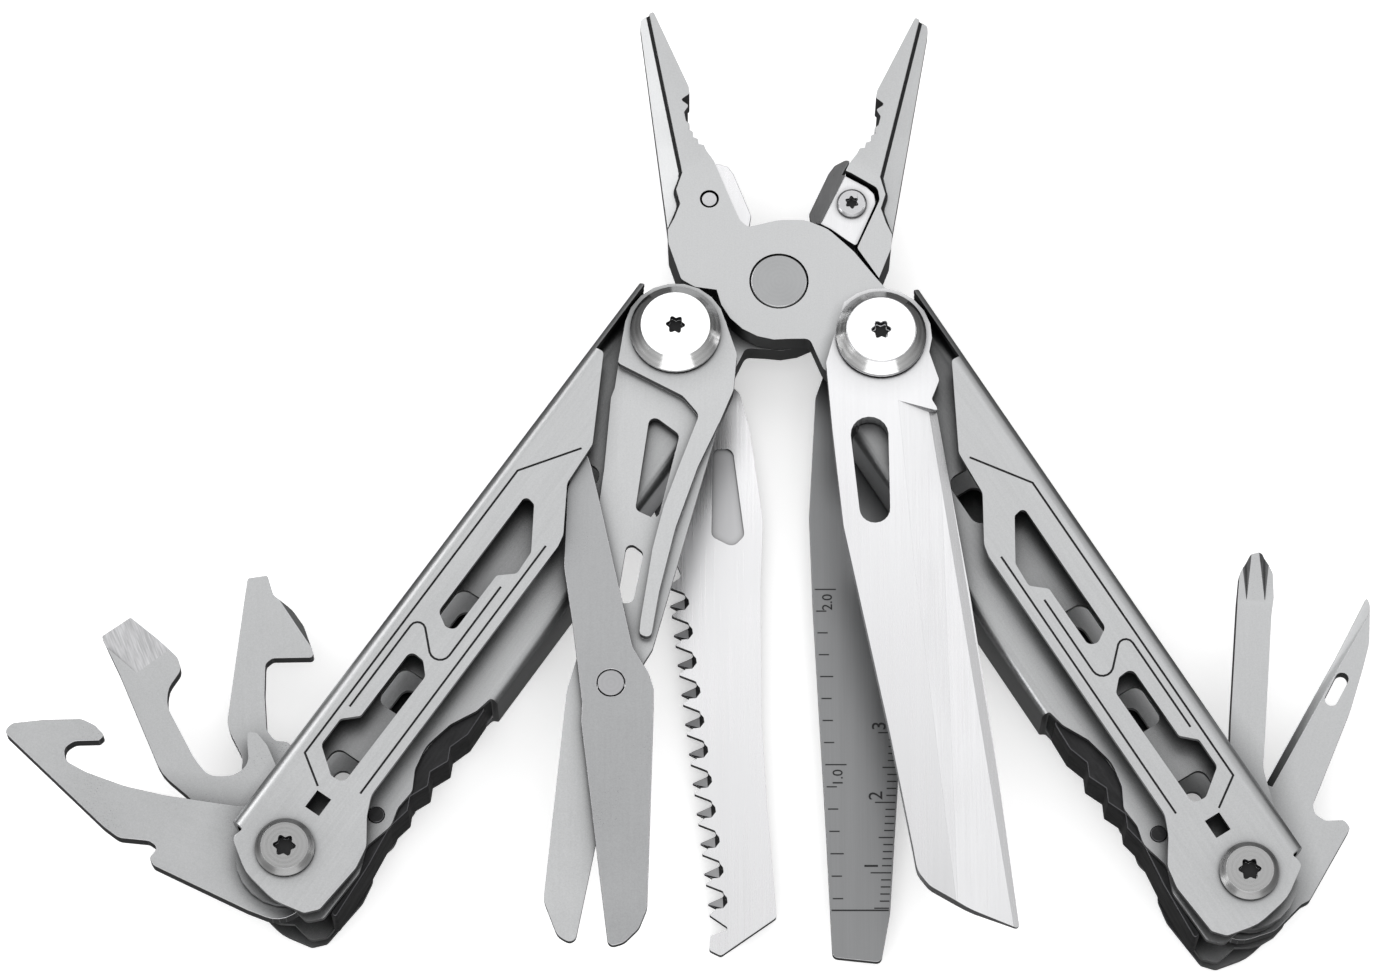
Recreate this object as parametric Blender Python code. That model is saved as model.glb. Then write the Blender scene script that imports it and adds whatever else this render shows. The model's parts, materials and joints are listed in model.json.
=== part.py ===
"""Plier multi tool laid flat and fanned open: pliers at the top, two handles, four outer
blades hanging between the handles and five inner tools spread from the handle ends.

Lengths are given in millimetres and scaled by MM. The tool lies in the XY plane with its
mid-plane at Z_MID, so the four rear screw faces rest on z = 0. The world origin is the
middle of the footprint, and places in the plane are measured from the plier rivet, which
stands at RIVET_AT. Every joint axis is parallel to z.
"""
import math

import bmesh
import bpy

MM = 0.001

# ---- thickness levels, measured from the mid-plane of the tool -------------------------
JAW_HALF = 4.0
WALL_IN = 4.3
WALL_OUT = 5.2
SLOT_OUT = 8.1
PLATE_OUT = 8.9
HEAD_TOP = 10.2
TOOL_HEAD_LOW = 9.15
GAP = 0.3
Z_MID = HEAD_TOP

# ---- kinematic skeleton ----------------------------------------------------------------
RIVET_AT = (12.07, 27.47)
LINK = 17.0
LINK_ANGLE = 32.8
LEFT_JAW_OPEN = 22.5
RIGHT_JAW_OPEN = 25.3
SPAN = 91.2
LEFT_HANDLE_DIR = -124.9
RIGHT_HANDLE_DIR = -58.05

# ---- round sizes -----------------------------------------------------------------------
LOBE_R = 8.8
RIVET_R = 4.0
PLIER_HEAD_R = 6.3
PLIER_FACE_R = 4.8
TOOL_HEAD_R = 4.0
TOOL_FACE_R = 3.2
BARREL_R = 2.5
SHAFT_R = 1.45
BORE_R = 1.75
HOLE_R = 2.8
LOCK_PIN_R = 1.1
SCISSOR_RIVET_R = 1.8

# ---- handle section --------------------------------------------------------------------
OUTER_EDGE = 8.3
STRIP_IN = 7.45
SHEET = 0.85
FOLD_R = 1.95
SPINE_OUT = -10.5
SPINE_IN = -9.6
HANDLE_START = -3.0
HANDLE_END = 98.2
LOCK_PIN_U = 79.7
LOCK_PIN_V = -6.5


# ---- outlines --------------------------------------------------------------------------
def arc(cx, cy, r, start, end, steps=None):
    """Points along an arc, angles in degrees."""
    if steps is None:
        steps = max(2, int(math.ceil(abs(end - start) / 18.0)))
    out = []
    for i in range(steps + 1):
        a = math.radians(start + (end - start) * i / steps)
        out.append((cx + r * math.cos(a), cy + r * math.sin(a)))
    return out


def circle(cx, cy, r, steps=32):
    return arc(cx, cy, r, 0.0, 360.0 * (steps - 1) / steps, steps - 1)


def rounded(points):
    """Closed outline with fillets: a point is (x, y) or (x, y, radius)."""
    out = []
    count = len(points)
    for i, point in enumerate(points):
        x, y = point[0], point[1]
        r = point[2] if len(point) > 2 else 0.0
        if r <= 0.0:
            out.append((x, y))
            continue
        ax, ay = points[i - 1][0] - x, points[i - 1][1] - y
        bx, by = points[(i + 1) % count][0] - x, points[(i + 1) % count][1] - y
        la, lb = math.hypot(ax, ay), math.hypot(bx, by)
        ax, ay, bx, by = ax / la, ay / la, bx / lb, by / lb
        half = math.acos(max(-1.0, min(1.0, ax * bx + ay * by))) / 2.0
        if half > math.radians(88.0):
            out.append((x, y))
            continue
        reach = min(r / math.tan(half), 0.49 * la, 0.49 * lb)
        r = reach * math.tan(half)
        mx, my = ax + bx, ay + by
        lm = math.hypot(mx, my)
        cx, cy = x + mx / lm * r / math.sin(half), y + my / lm * r / math.sin(half)
        a0 = math.atan2(y + ay * reach - cy, x + ax * reach - cx)
        a1 = math.atan2(y + by * reach - cy, x + bx * reach - cx)
        turn = (a1 - a0 + math.pi) % (2.0 * math.pi) - math.pi
        step = 24.0 if r < 1.3 else 15.0
        steps = max(1, int(math.ceil(abs(math.degrees(turn)) / step)))
        for k in range(steps + 1):
            a = a0 + turn * k / steps
            out.append((cx + r * math.cos(a), cy + r * math.sin(a)))
    return out


def stadium(x0, y0, r0, x1, y1, r1):
    """Outline of a slot with round ends of radius r0 and r1."""
    heading = math.degrees(math.atan2(y1 - y0, x1 - x0))
    first = arc(x0, y0, r0, heading + 90.0, heading + 270.0)
    return first + arc(x1, y1, r1, heading - 90.0, heading + 90.0)


def stroke(points, width):
    """Outline of a mitred line of the given width through the points."""
    left, right = [], []
    for i, (x, y) in enumerate(points):
        before = points[i - 1] if i else None
        after = points[i + 1] if i + 1 < len(points) else None
        dirs = []
        if before:
            d = math.hypot(x - before[0], y - before[1])
            dirs.append(((x - before[0]) / d, (y - before[1]) / d))
        if after:
            d = math.hypot(after[0] - x, after[1] - y)
            dirs.append(((after[0] - x) / d, (after[1] - y) / d))
        tx, ty = sum(d[0] for d in dirs), sum(d[1] for d in dirs)
        length = math.hypot(tx, ty)
        tx, ty = tx / length, ty / length
        grow = 1.0 / max(0.5, tx * dirs[0][0] + ty * dirs[0][1])
        left.append((x - ty * width / 2 * grow, y + tx * width / 2 * grow))
        right.append((x + ty * width / 2 * grow, y - tx * width / 2 * grow))
    return left + right[::-1]


def mirrored(points, side):
    """The outline with y times side; fillet radii are kept."""
    return [(p[0], p[1] * side) + tuple(p[2:]) for p in points]


def flipped(points, side):
    """The outline with x times side; fillet radii are kept."""
    return [(p[0] * side, p[1]) + tuple(p[2:]) for p in points]


def turned(x, y, degrees):
    a = math.radians(degrees)
    return x * math.cos(a) - y * math.sin(a), x * math.sin(a) + y * math.cos(a)


# ---- solids ----------------------------------------------------------------------------
def add_prism(bm, loops, z0, z1):
    """Extrudes a flat region, its outline first and its holes after it, from z0 to z1."""
    part = bmesh.new()
    for loop in loops:
        verts = [part.verts.new((x * MM, y * MM, z0 * MM)) for x, y in loop]
        for i, vert in enumerate(verts):
            part.edges.new((vert, verts[(i + 1) % len(verts)]))
    bmesh.ops.triangle_fill(part, use_beauty=True, use_dissolve=False, edges=part.edges[:])
    grown = bmesh.ops.extrude_face_region(part, geom=part.faces[:])
    for vert in [g for g in grown["geom"] if isinstance(g, bmesh.types.BMVert)]:
        vert.co.z = z1 * MM
    merge(bm, part)


def add_lathe(bm, profile, steps=40):
    """Turns a (radius, z) profile about the z axis; radius 0 closes an end flat."""
    part = bmesh.new()
    rings = []
    for r, z in profile:
        ring = []
        for i in range(steps if r > 0.0 else 0):
            a = 2.0 * math.pi * i / steps
            ring.append(part.verts.new((r * math.cos(a) * MM, r * math.sin(a) * MM, z * MM)))
        rings.append(ring)
    for n, low in enumerate(rings):
        high = rings[(n + 1) % len(rings)]
        if low and high:
            for i in range(steps):
                k = (i + 1) % steps
                part.faces.new((low[i], low[k], high[k], high[i]))
        elif low or high:
            part.faces.new(low or high)
    merge(bm, part)


def add_hull(bm, points):
    """The convex solid through a few corner points."""
    part = bmesh.new()
    for x, y, z in points:
        part.verts.new((x * MM, y * MM, z * MM))
    bmesh.ops.convex_hull(part, input=part.verts[:])
    merge(bm, part)


def merge(bm, part):
    bmesh.ops.recalc_face_normals(part, faces=part.faces[:])
    mesh = bpy.data.meshes.new("piece")
    part.to_mesh(mesh)
    part.free()
    bm.from_mesh(mesh)
    bpy.data.meshes.remove(mesh)


def steel(name, colour, roughness, metallic=1.0):
    material = bpy.data.materials.new(name)
    material.use_nodes = True
    shader = material.node_tree.nodes["Principled BSDF"]
    shader.inputs["Base Color"].default_value = (*colour, 1.0)
    shader.inputs["Roughness"].default_value = roughness
    shader.inputs["Metallic"].default_value = metallic
    return material


def solid(name, bm, look, parent, xy=(0.0, 0.0), turn=0.0, smooth=False):
    """A named piece from a bmesh, hung from an empty at a place in that empty's frame."""
    mesh = bpy.data.meshes.new(name)
    bm.to_mesh(mesh)
    bm.free()
    for face in mesh.polygons:
        face.use_smooth = smooth
    obj = bpy.data.objects.new(name, mesh)
    bpy.context.collection.objects.link(obj)
    if smooth:
        mesh.set_sharp_from_angle(angle=math.radians(32.0))
    mesh.materials.append(steel(name + "_finish", *look))
    obj.parent = parent
    obj.location = (xy[0] * MM, xy[1] * MM, 0.0)
    obj.rotation_euler = (0.0, 0.0, math.radians(turn))
    return obj


def boolean(obj, bm, operation, label):
    """Cuts the bmesh from the piece, or joins it on, with a live exact Boolean."""
    mesh = bpy.data.meshes.new(label)
    bm.to_mesh(mesh)
    bm.free()
    tool = bpy.data.objects.new(obj.name + "_" + label, mesh)
    bpy.context.collection.objects.link(tool)
    tool.parent = obj
    tool.hide_render = True
    tool.display_type = "WIRE"
    modifier = obj.modifiers.new(label, "BOOLEAN")
    modifier.solver = "EXACT"
    modifier.operation = operation
    modifier.object = tool
    return modifier


def axis(name, parent, world_xy, world_turn):
    """An empty on a joint axis, placed from the plier rivet, with its heading in degrees."""
    empty = bpy.data.objects.new(name, None)
    bpy.context.collection.objects.link(empty)
    empty["world"] = (world_xy[0], world_xy[1], world_turn)
    if parent is None:
        x, y = RIVET_AT[0] + world_xy[0], RIVET_AT[1] + world_xy[1]
        empty.location = (x * MM, y * MM, Z_MID * MM)
        empty.rotation_euler = (0.0, 0.0, math.radians(world_turn))
        return empty
    px, py, pt = parent["world"]
    x, y = turned(world_xy[0] - px, world_xy[1] - py, -pt)
    empty.parent = parent
    empty.location = (x * MM, y * MM, 0.0)
    empty.rotation_euler = (0.0, 0.0, math.radians(world_turn - pt))
    return empty


SATIN = ((0.50, 0.50, 0.51), 0.42)
BRIGHT = ((0.72, 0.72, 0.73), 0.24)
MID = ((0.40, 0.41, 0.42), 0.38)
POLISHED = ((0.78, 0.78, 0.79), 0.15)
BLACK = ((0.02, 0.02, 0.022), 0.45, 0.6)


# ---- plier jaws ------------------------------------------------------------------------
def jaw(name, side, lobe, parent):
    """One jaw in its closed frame: rivet at the origin, nose up, nose on the given side.

    lobe is +1 when its rivet lobe and tang fill the front half, -1 for the rear half.
    """
    px = -LINK * math.sin(math.radians(LINK_ANGLE))
    py = -LINK * math.cos(math.radians(LINK_ANGLE))
    outline = [
        (0.15, 45.7, 0.3), (0.15, 32.6), (0.45, 31.5, 0.3), (2.0, 31.1, 0.3),
        (1.3, 29.8, 0.3), (2.3, 29.1, 0.3), (2.6, 27.7), (2.3, 27.1), (2.75, 26.3),
        (2.35, 25.7), (2.65, 24.9), (2.15, 24.4), (2.35, 23.6), (1.75, 23.2),
        (1.75, 22.2), (1.4, 20.3), (1.55, 12.8), (1.5, 10.6), (0.9, 9.2, 1.0),
        (-3.6, 8.5, 4.0), (-7.0, 7.1, 4.0), (-9.4, 4.6, 4.0), (-11.4, 0.1, 4.0),
        (-12.7, -4.7, 5.0),
    ]
    outline += arc(px, py, 6.2, 165.0, 285.0)
    outline += [(-3.2, -18.6), (-0.6, -14.6, 2.0), (-0.6, -9.6, 1.0)]
    outline += arc(0.0, 0.0, LOBE_R, -78.0, 14.0)
    outline += [
        (11.2, 3.7, 0.6), (12.5, 5.5, 0.9), (12.1, 11.1, 2.0), (11.0, 14.2, 2.0),
        (2.65, 44.6, 0.4), (2.2, 45.5, 0.4), (1.2, 45.5, 0.5),
    ]
    outline = flipped(rounded(outline), side)
    bm = bmesh.new()
    add_prism(bm, [outline, circle(0.0, 0.0, RIVET_R + 0.15, 40),
                   circle(px * side, py, HOLE_R, 28)], -JAW_HALF, JAW_HALF)
    obj = solid(name, bm, SATIN, parent)

    cut = bmesh.new()
    trim = [
        (12.9, 6.1), (7.8, 9.2, 0.5), (7.6, 17.2, 1.2), (6.6, 18.7, 1.2), (2.3, 19.2, 0.3),
        (-4.0, 19.2), (-17.0, 9.0), (-20.0, -6.0),
    ]
    trim += arc(px, py, 7.6, 150.0, -20.0)
    trim += [(8.0, -16.0), (16.0, -4.0)]
    trim = flipped(rounded(trim), side)
    low, high = (-JAW_HALF - 1.0, 0.15) if lobe > 0 else (-0.15, JAW_HALF + 1.0)
    add_prism(cut, [trim], low, high)
    boolean(obj, cut, "DIFFERENCE", "other_lobe_room")

    taper = bmesh.new()
    for z in (1, -1):
        # the nose thins toward its tip, front and back
        add_hull(taper, [
            (x, y, z * h)
            for x in (-14.0, 14.0)
            for y, h in ((21.0, 4.0), (48.0, 2.05), (48.0, 7.0), (21.0, 7.0))
        ])
    boolean(obj, taper, "DIFFERENCE", "nose_taper")

    facet = bmesh.new()
    recess = flipped(rounded([
        (1.0, 46.6), (1.35, 44.6), (6.5, 20.5, 1.0), (8.4, 18.4, 1.6), (8.7, 16.2, 1.8),
        (10.2, 14.6, 0.8), (11.6, 13.2), (13.0, 12.9), (3.4, 46.6),
    ]), side)
    for z in (1, -1):
        # a recessed bevel runs down the outer side of the nose
        add_prism(facet, [recess], z * 1.0, z * 8.0)
    for vert in facet.verts:
        if abs(vert.co.z) < 2.0 * MM:
            depth = 0.59 * (side * vert.co.x - 1.3 * MM) + 0.189 * (vert.co.y - 45.0 * MM)
            vert.co.z = math.copysign(1.9 * MM - depth, vert.co.z)
    boolean(obj, facet, "DIFFERENCE", "side_facet")

    groove = bmesh.new()
    line = flipped(stroke([(0.9, 46.6), (1.3, 44.6), (6.4, 20.5), (8.2, 18.4), (8.5, 16.2),
                           (10.0, 14.6), (12.6, 12.4)], 0.5), side)
    for z in (1, -1):
        # a narrow groove parts the bevel from the flat, following the nose taper
        add_prism(groove, [line], z * 1.0, z * 8.0)
    for vert in groove.verts:
        if abs(vert.co.z) < 2.0 * MM:
            fall = 0.0722 * max(0.0, vert.co.y - 21.0 * MM)
            vert.co.z = math.copysign(3.3 * MM - fall, vert.co.z)
    boolean(obj, groove, "DIFFERENCE", "bevel_groove")
    return obj


def cutter_insert(name, side, lobe, parent):
    """Replaceable wire-cutter edge, lapped on the half of the jaw that has no lobe."""
    outline = rounded([
        (-0.95, 12.2, 0.3), (-1.1, 19.0, 0.5), (-0.8, 20.4, 0.6), (0.4, 21.4, 0.5),
        (1.1, 21.3, 0.2), (0.95, 19.0), (1.8, 18.75), (5.0, 18.5, 0.6), (6.4, 18.0, 0.9),
        (7.2, 16.8, 1.0), (7.45, 9.7, 0.4), (6.0, 9.9, 0.5), (3.2, 10.5, 0.5), (0.0, 10.7, 0.4),
    ])
    bm = bmesh.new()
    low, high = (0.15, 3.2) if lobe < 0 else (-3.2, -0.15)
    add_prism(bm, [[(x * side, y) for x, y in outline], circle(4.2 * side, 15.2, 1.25, 24)],
              low, high)
    obj = solid(name, bm, MID, parent)
    edge = bmesh.new()
    z = 1 if lobe < 0 else -1
    add_hull(edge, [(x * side, y, z * h) for y in (8.0, 22.0)
                    for x, h in ((-1.1, 0.7), (1.7, 3.3), (1.7, 5.0), (-1.1, 5.0))])
    boolean(obj, edge, "DIFFERENCE", "edge_bevel")
    return obj


def torx(bm, cx, cy, r, z0, z1):
    """Six-lobed socket prism."""
    points = []
    for i in range(36):
        a = 2.0 * math.pi * (i + 0.37) / 36
        points.append((cx + r * (1.0 + 0.17 * math.cos(6.0 * a)) * math.cos(a),
                       cy + r * (1.0 + 0.17 * math.cos(6.0 * a)) * math.sin(a)))
    add_prism(bm, [points], z0, z1)


# ---- handles ---------------------------------------------------------------------------
def handle_section():
    """Cross-section of the folded sheet as (v, z): channel, hairpin folds and plates."""
    rim = []
    for z in (1, -1):
        rim.append([
            (-10.4, z * PLATE_OUT), (OUTER_EDGE, z * PLATE_OUT, FOLD_R),
            (OUTER_EDGE, z * WALL_IN, FOLD_R), (SPINE_IN, z * WALL_IN, 0.6),
        ])
        rim.append([
            (-10.4, z * SLOT_OUT), (STRIP_IN, z * SLOT_OUT, FOLD_R - SHEET),
            (STRIP_IN, z * WALL_OUT, FOLD_R - SHEET), (SPINE_OUT, z * WALL_OUT, 1.6),
        ])
    outline = rim[0] + rim[2][::-1] + rim[3] + rim[1][::-1]
    return rounded(outline)


def handle(name, side, parent):
    """Folded-sheet handle; u runs to the tool end, v is outward times side."""
    section = handle_section()
    part = bmesh.new()
    verts = [part.verts.new((HANDLE_START * MM, v * side * MM, z * MM)) for v, z in section]
    for i, vert in enumerate(verts):
        part.edges.new((vert, verts[(i + 1) % len(verts)]))
    bmesh.ops.triangle_fill(part, use_beauty=True, use_dissolve=False, edges=part.edges[:])
    grown = bmesh.ops.extrude_face_region(part, geom=part.faces[:])
    for vert in [g for g in grown["geom"] if isinstance(g, bmesh.types.BMVert)]:
        vert.co.x = HANDLE_END * MM
    bm = bmesh.new()
    merge(bm, part)
    obj = solid(name, bm, SATIN, parent, smooth=True)

    def shape(points):
        return mirrored(rounded(points), side)

    around = shape([
        (-6.0, 7.35), (8.6, 7.35), (8.6, 6.1, 0.6), (20.6, -0.5, 1.5), (27.2, -0.9, 1.5),
        (33.6, -4.8, 2.0), (35.4, -5.2, 2.0), (78.6, -5.1, 3.0), (81.4, -6.4, 3.0),
        (84.8, -8.8, 2.0), (88.0, -9.4, 2.0), (95.4, -8.8, 0.8), (97.0, -7.4, 0.8),
        (97.9, -3.0, 6.0), (96.9, 2.4, 6.0), (94.0, 6.7, 1.0), (92.3, 6.2, 0.3),
        (91.6, 9.5), (101.0, 9.5), (101.0, -13.0), (-6.0, -13.0),
    ])
    windows = [
        shape([(31.9, 2.7, 0.9), (32.3, 1.0, 0.5), (38.2, -2.7, 0.8), (41.8, -2.9, 0.8),
               (43.6, -0.8, 0.6), (53.2, -0.7, 1.2), (53.6, 0.6, 0.8), (52.3, 2.7, 1.0)]),
        shape([(59.0, 2.5, 0.9), (59.2, 0.3, 0.6), (60.9, -1.3, 0.8), (79.4, -1.1, 1.0),
               (79.5, 0.9, 0.8), (76.7, 4.6, 0.9), (72.3, 4.6, 0.6), (70.4, 2.6, 0.5)]),
        shape([(82.2, 1.2), (82.2, -1.1), (85.0, -1.1), (85.0, 1.2)]),
        mirrored(circle(SPAN, 0.0, HOLE_R, 28), side),
    ]
    cut = bmesh.new()
    for z in (1, -1):
        add_prism(cut, [around], z * 6.0, z * (PLATE_OUT + 1.0))
        for window in windows:
            add_prism(cut, [window], z * 6.0, z * (PLATE_OUT + 1.0))
    boolean(obj, cut, "DIFFERENCE", "plate_outline")

    lines = [
        [(21.9, 0.4), (29.6, 5.7), (78.9, 5.7), (81.7, 1.5)],
        [(36.3, -3.8), (79.3, -3.8)],
        [(44.6, -2.2)] + arc(56.6, -0.7, 1.5, -90.0, 40.0, 6)
        + arc(56.1, 3.5, 1.1, 220.0, 90.0, 5) + [(70.2, 4.6)],
    ]
    grooves = bmesh.new()
    for z in (1, -1):
        for line in lines:
            outline = mirrored(stroke(line, 0.3), side)
            add_prism(grooves, [outline], z * (PLATE_OUT - 0.2), z * (PLATE_OUT + 1.0))
    boolean(obj, grooves, "DIFFERENCE", "plate_lines")

    inner = [(-6.0, 8.0), (-2.9, 7.5), (-1.2, 7.0)]
    inner += arc(0.0, 0.0, 7.0, 97.0, 262.0)
    inner += [
        (5.5, -7.2, 2.0), (9.4, -9.4, 1.0), (9.6, -12.0), (57.0, -12.0), (57.4, -9.5, 0.5),
        (60.0, -9.0, 1.0), (63.6, -7.2, 2.0), (68.0, -6.3, 4.0), (71.5, -7.0, 2.0),
        (74.2, -8.5, 1.5), (77.2, -8.3, 1.5), (79.8, -9.0, 2.0), (84.0, -8.0, 2.0),
        (87.5, -9.4, 2.0), (95.4, -9.2, 0.8), (97.1, -7.6, 1.0),
    ]
    inner += arc(SPAN, 0.0, 6.9, -40.0, 55.0)
    inner += [(92.3, 6.4), (91.6, 9.5), (101.0, 9.5), (101.0, -13.0), (-12.0, -13.0)]
    inner = rounded(inner + [(-12.0, 8.0)])
    openings = [
        rounded([(46.6, 3.2, 1.6), (46.6, -3.2, 1.6), (54.6, -3.2, 1.6), (54.6, 3.2, 1.6)]),
        rounded([(60.4, 3.0, 1.4), (60.4, -3.0, 1.4), (66.6, -3.0, 1.4), (66.6, 3.0, 1.4)]),
        rounded([(74.9, 3.6, 1.4), (74.9, -1.8, 1.4), (80.6, -1.8, 1.4), (80.6, 3.6, 1.4)]),
        rounded([(22.0, 2.4, 1.6), (22.0, -3.4, 1.6), (30.0, -3.4, 1.6), (30.0, 2.4, 1.6)]),
        circle(0.0, 0.0, HOLE_R, 28),
        circle(SPAN, 0.0, HOLE_R, 28),
        circle(LOCK_PIN_U, LOCK_PIN_V, LOCK_PIN_R + 0.1, 20),
    ]
    cut = bmesh.new()
    add_prism(cut, [mirrored(inner, side)], -6.01, 6.01)
    for opening in openings:
        add_prism(cut, [mirrored(opening, side)], -6.01, 6.01)
    boolean(obj, cut, "DIFFERENCE", "wall_outline")
    return obj


def screw_pair(name, parent, u, head_low, head_r, face_r, skirt):
    """Front screw with a six-lobed socket, and the rear barrel nut that it threads into."""
    bm = bmesh.new()
    add_lathe(bm, [
        (0.0, -SLOT_OUT), (SHAFT_R, -SLOT_OUT), (SHAFT_R, head_low), (head_r, head_low),
        (head_r, head_low + skirt), (face_r, HEAD_TOP), (0.0, HEAD_TOP),
    ])
    screw = solid(name + "_screw", bm, POLISHED, parent, (u, 0.0), smooth=True)
    cut = bmesh.new()
    torx(cut, 0.0, 0.0, 1.15 if head_r > 5.0 else 1.35, HEAD_TOP - 1.2, HEAD_TOP + 1.0)
    boolean(screw, cut, "DIFFERENCE", "socket")
    bm = bmesh.new()
    add_lathe(bm, [
        (0.0, -HEAD_TOP), (face_r, -HEAD_TOP), (head_r, -head_low - skirt),
        (head_r, -head_low), (BARREL_R, -head_low), (BARREL_R, head_low - GAP),
        (BORE_R, head_low - GAP), (BORE_R, -SLOT_OUT - 0.25), (0.0, -SLOT_OUT - 0.25),
    ])
    nut = solid(name + "_nut", bm, POLISHED, parent, (u, 0.0), smooth=True)
    return screw, nut


def lock_lever(name, side, parent):
    """Black serrated rocker that locks the inner tools; its origin is its pin axis."""
    outline = rounded([
        (-21.6, -1.6, 0.6), (-19.5, -0.9, 1.0), (-14.0, 0.1, 4.0), (-6.0, 0.2, 4.0),
        (-2.6, 1.6, 1.5), (2.4, 1.8, 1.5), (4.8, -0.5, 1.5), (8.0, -2.0, 2.0),
        (11.5, -2.7, 2.0), (14.3, -2.6, 0.4), (14.5, -3.7, 0.4), (6.0, -3.1, 1.0),
        (0.0, -2.3, 1.0), (-3.2, -2.9, 0.3), (-5.0, -2.0, 0.2), (-7.6, -3.1, 0.3),
        (-9.4, -2.2, 0.2), (-12.0, -3.3, 0.3), (-13.8, -2.4, 0.2), (-16.6, -3.3, 0.3),
        (-20.8, -3.1, 0.6),
    ])
    bm = bmesh.new()
    add_prism(bm, [mirrored(outline, side), circle(0.0, 0.0, LOCK_PIN_R + 0.2, 20)],
              -JAW_HALF + 0.1, JAW_HALF - 0.1)
    return solid(name, bm, BLACK, parent)


# ---- blades and tools ------------------------------------------------------------------
def plate(name, loops, z0, z1, look, parent):
    bm = bmesh.new()
    add_prism(bm, loops, z0, z1)
    return solid(name, bm, look, parent)


def wedge(obj, points, label):
    """Removes one convex wedge from a piece."""
    bm = bmesh.new()
    add_hull(bm, points)
    return boolean(obj, bm, "DIFFERENCE", label)


def knife(parent):
    z0, z1 = 5.5, 7.8
    outline = rounded(arc(0.0, 0.0, 7.1, 70.0, 225.0) + [
        (4.0, -7.6, 1.5), (14.0, -6.8), (28.0, -5.4), (57.8, 0.6), (73.8, 3.5, 3.0),
        (76.9, 4.0, 3.0), (79.0, 5.6, 3.0), (82.2, 11.0, 8.0), (84.8, 17.6, 0.4),
        (58.8, 14.6), (37.7, 11.8), (10.6, 7.6, 0.5), (9.4, 6.9, 0.6), (8.2, 7.4, 0.5),
        (6.6, 8.0, 0.8),
    ])
    slot = stadium(14.6, -1.7, 2.6, 25.4, -1.1, 2.1)
    obj = plate("knife_blade", [outline, circle(0.0, 0.0, HOLE_R, 28), slot], z0, z1,
                BRIGHT, parent)
    middle = (z0 + z1) / 2.0
    half = (z1 - z0) / 2.0
    for z, label in ((1, "front_grind"), (-1, "rear_grind")):
        # the grind runs from a line along the flat down to the cutting edge
        edge = [(9.2, 8.0), (11.0, 7.7), (37.7, 11.9), (58.8, 14.7), (87.0, 18.3)]
        ridge = [(9.6, 2.3), (33.0, 4.1), (84.0, 9.4)]
        low = [(u + 0.2, v + 0.15, middle + z * 0.3) for u, v in edge[1:]]
        top = [(u, v, middle + z * (half + 0.005)) for u, v in ridge]
        far = [(u, v, middle + z * (half + 2.0)) for u, v in edge[1:] + ridge]
        wedge(obj, low + top + far, label)
        keen = [(u, v + 0.1, middle + z * 0.04) for u, v in edge[1:]]
        back = [(u, v - 1.15, middle + z * 0.43) for u, v in edge[1:]]
        above = [(u, v + dv, middle + z * 3.0) for u, v in edge[1:] for dv in (-1.15, 0.4)]
        wedge(obj, keen + back + above, label.replace("grind", "edge"))
    return obj


def file_blade(parent):
    z0, z1 = -6.6, -5.45
    outline = rounded(arc(0.0, 0.0, 7.2, 60.0, 236.0) + [
        (4.2, -8.8, 2.0), (21.6, -9.8), (35.3, -9.4), (68.2, -7.8), (85.3, -7.1, 0.8),
        (86.0, -0.5, 0.8), (79.0, 0.8), (62.0, 2.0), (40.0, 3.2), (16.0, 4.6, 4.0),
        (9.0, 6.6, 3.0),
    ])
    return plate("file_ruler", [outline, circle(0.0, 0.0, HOLE_R, 28)], z0, z1, MID, parent)


def saw(parent):
    z0, z1 = -7.85, -6.85
    teeth = []
    scoops = bmesh.new()
    first, pitch, slope, count = (32.4, -1.2), 4.29, 0.122, 11
    for i in range(count):
        # a plain tooth, a round gullet, then a raker whose face is ground to a bevel
        u, v = first[0] + pitch * i, first[1] + slope * pitch * i
        teeth += [(u, v, 0.15), (u + 1.0, v + 2.5, 0.4), (u + 1.6, v + 2.6, 0.4),
                  (u + 2.7, v + 0.25, 0.15), (u + 3.45, v + 1.7, 0.2)]
        rim = [(u + 3.5, v + 1.3), (u + 3.4, v + 2.5), (u + 2.6, v + 3.1), (u + 1.9, v + 3.0)]
        low = [(u + 2.5, v - 0.3), (u + 1.2, v + 2.4)]
        add_hull(scoops, [(a, b, z1 + h) for a, b in rim for h in (0.005, 1.0)]
                 + [(a, b, z1 + h) for a, b in low for h in (-0.75, 1.0)])
    teeth += [(first[0] + pitch * count, first[1] + slope * pitch * count, 0.15)]
    outline = arc(0.0, 0.0, 7.2, 75.0, 250.0)
    outline += [(5.0, -6.0, 2.0), (20.0, -3.4, 5.0), (30.9, 0.9, 0.8)]
    outline += teeth
    outline = rounded(outline + [
        (81.6, 7.4, 0.3), (82.6, 4.8, 0.4), (84.6, 4.6, 0.5), (85.4, 6.2, 0.5),
        (83.0, 9.6, 0.6), (80.0, 13.8, 0.6), (63.1, 12.5), (52.2, 11.9), (33.4, 11.8, 9.0),
        (22.7, 12.2, 9.0), (9.2, 10.4, 2.0), (3.6, 9.0, 2.0),
    ])
    obj = plate("saw_blade", [outline, circle(0.0, 0.0, HOLE_R, 28)], z0, z1, BRIGHT, parent)
    cut = bmesh.new()
    add_prism(cut, [rounded([(12.0, 5.2, 1.0), (11.9, 8.0, 1.2), (24.9, 9.6, 1.0),
                             (26.6, 8.0, 1.2), (25.0, 5.0, 1.0)])], z1 - 0.35, z1 + 1.0)
    boolean(obj, cut, "DIFFERENCE", "fuller")
    boolean(obj, scoops, "DIFFERENCE", "raker_bevels")
    return obj


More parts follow.
